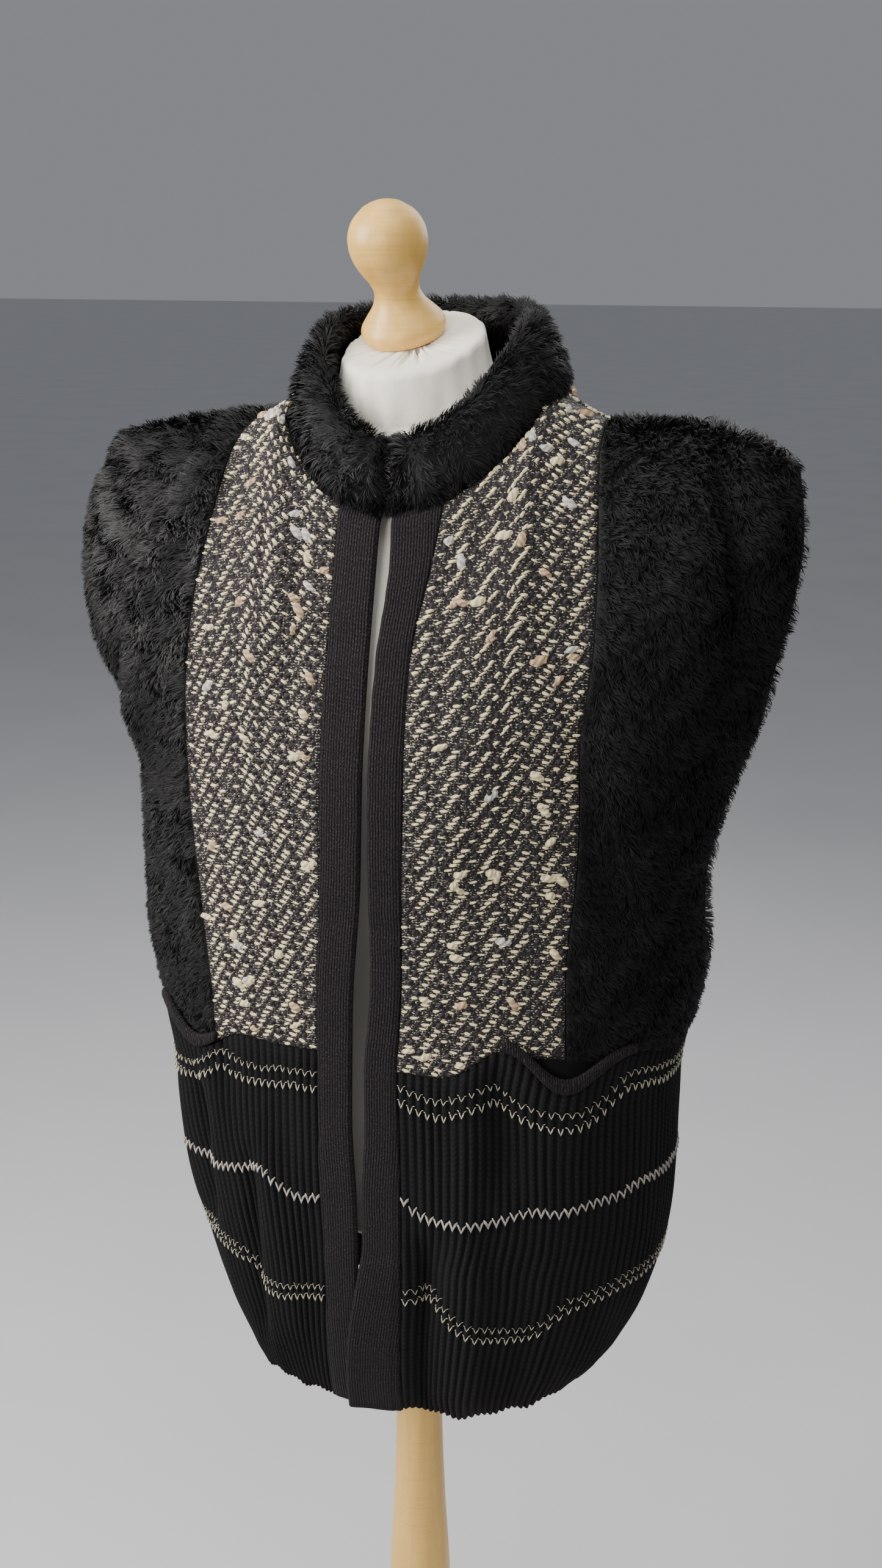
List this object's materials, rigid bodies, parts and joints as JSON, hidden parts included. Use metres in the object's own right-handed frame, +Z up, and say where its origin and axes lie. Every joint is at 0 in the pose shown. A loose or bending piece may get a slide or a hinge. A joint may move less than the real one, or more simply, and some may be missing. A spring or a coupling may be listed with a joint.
{
  "type": "knit vest on a dress form",
  "caption": "Open-front sleeveless vest with boucle tweed fronts, long-pile side panels and collar and a ribbed striped welt, worn by a limbless torso form on a turned stand.",
  "frame": {"origin": "centre of the flat underside of the stand's round base", "axes": "+Z up along the pole; the vest's open front faces -Y and the wearer's left is at +X"},
  "size_m": [0.5602, 0.34, 1.567],
  "materials": {
    "long_pile": "long dense black pile with a silky sheen",
    "boucle_tweed": "black ground with raised cream floats and coloured slubs",
    "rib_knit": "matt black rib knit with thin cream stripes",
    "band_knit": "matt charcoal double knit",
    "pocket_cloth": "smooth dark lining",
    "form_jersey": "off-white jersey, gathered under the knob",
    "pale_wood": "satin lacquered pale wood"
  },
  "bodies": {
    "root": {"back_fur_left": "long_pile", "back_fur_right": "long_pile", "back_tweed": "boucle_tweed", "back_welt": "rib_knit", "collar_fur": "long_pile", "form_finial": "pale_wood", "form_torso": "form_jersey", "front_band_left": "band_knit", "front_band_right": "band_knit", "front_fur_left": "long_pile", "front_fur_right": "long_pile", "front_tweed_left": "boucle_tweed", "front_tweed_right": "boucle_tweed", "front_welt_left": "rib_knit", "front_welt_right": "rib_knit", "pocket_binding_left": "band_knit", "pocket_binding_right": "band_knit", "pocket_lining_left": "pocket_cloth", "pocket_lining_right": "pocket_cloth", "stand_base": "pale_wood", "stand_pole": "pale_wood"}
  },
  "joints": []
}
